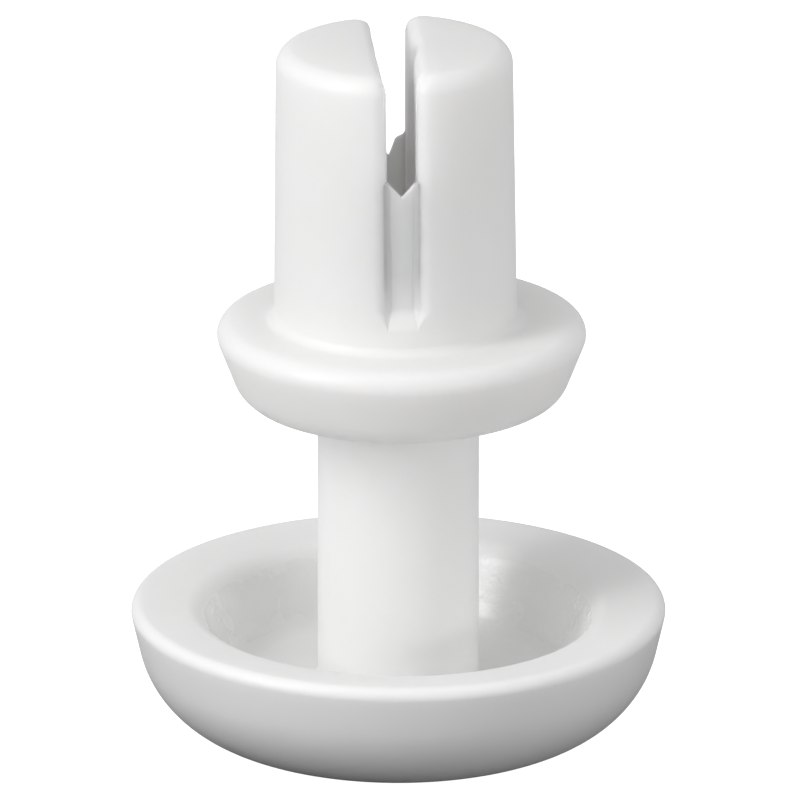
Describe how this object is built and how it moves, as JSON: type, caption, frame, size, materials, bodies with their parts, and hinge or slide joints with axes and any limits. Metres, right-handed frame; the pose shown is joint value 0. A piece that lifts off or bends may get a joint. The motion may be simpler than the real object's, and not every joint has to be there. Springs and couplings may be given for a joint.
{
  "type": "push rivet",
  "caption": "White nylon push rivet: slotted expanding sleeve with a round seat collar, standing on a push pin with a dished round head.",
  "frame": {"origin": "centre of the push pin head's flat outer face, on the rivet's axis", "axes": "+Z along the rivet's axis, from the pin head to the leg tips; the slot between the legs runs along Y, and the legs part along X"},
  "size_m": [0.0066, 0.0066, 0.0089],
  "materials": {
    "sleeve_nylon": "satin moulded nylon, natural white, slightly translucent",
    "pin_nylon": "satin moulded nylon, natural white, with a fine spark-eroded grain in the head's recess"
  },
  "bodies": {
    "sleeve": {"sleeve_collar": "sleeve_nylon"},
    "left_leg": {"leg_left": "sleeve_nylon"},
    "right_leg": {"leg_right": "sleeve_nylon"},
    "pin": {"push_pin": "pin_nylon"}
  },
  "joints": [
    {"name": "pin_press", "type": "slide", "parent": "sleeve", "child": "pin", "axis": [0, 0, 1], "range_m": [0, 0.00365]},
    {"name": "left_leg_flex", "type": "hinge", "parent": "sleeve", "child": "left_leg", "pos_m": [-0.0015, 0, 0.00561], "axis": [0, -1, 0], "range_deg": [0, 12]},
    {"name": "right_leg_flex", "type": "hinge", "parent": "sleeve", "child": "right_leg", "pos_m": [0.0015, 0, 0.00561], "axis": [0, 1, 0], "range_deg": [0, 12]}
  ],
  "couplings": [
    {"joint": "left_leg_flex", "follows": "pin_press", "rad_per_m": 57.38},
    {"joint": "right_leg_flex", "follows": "pin_press", "rad_per_m": 57.38}
  ]
}
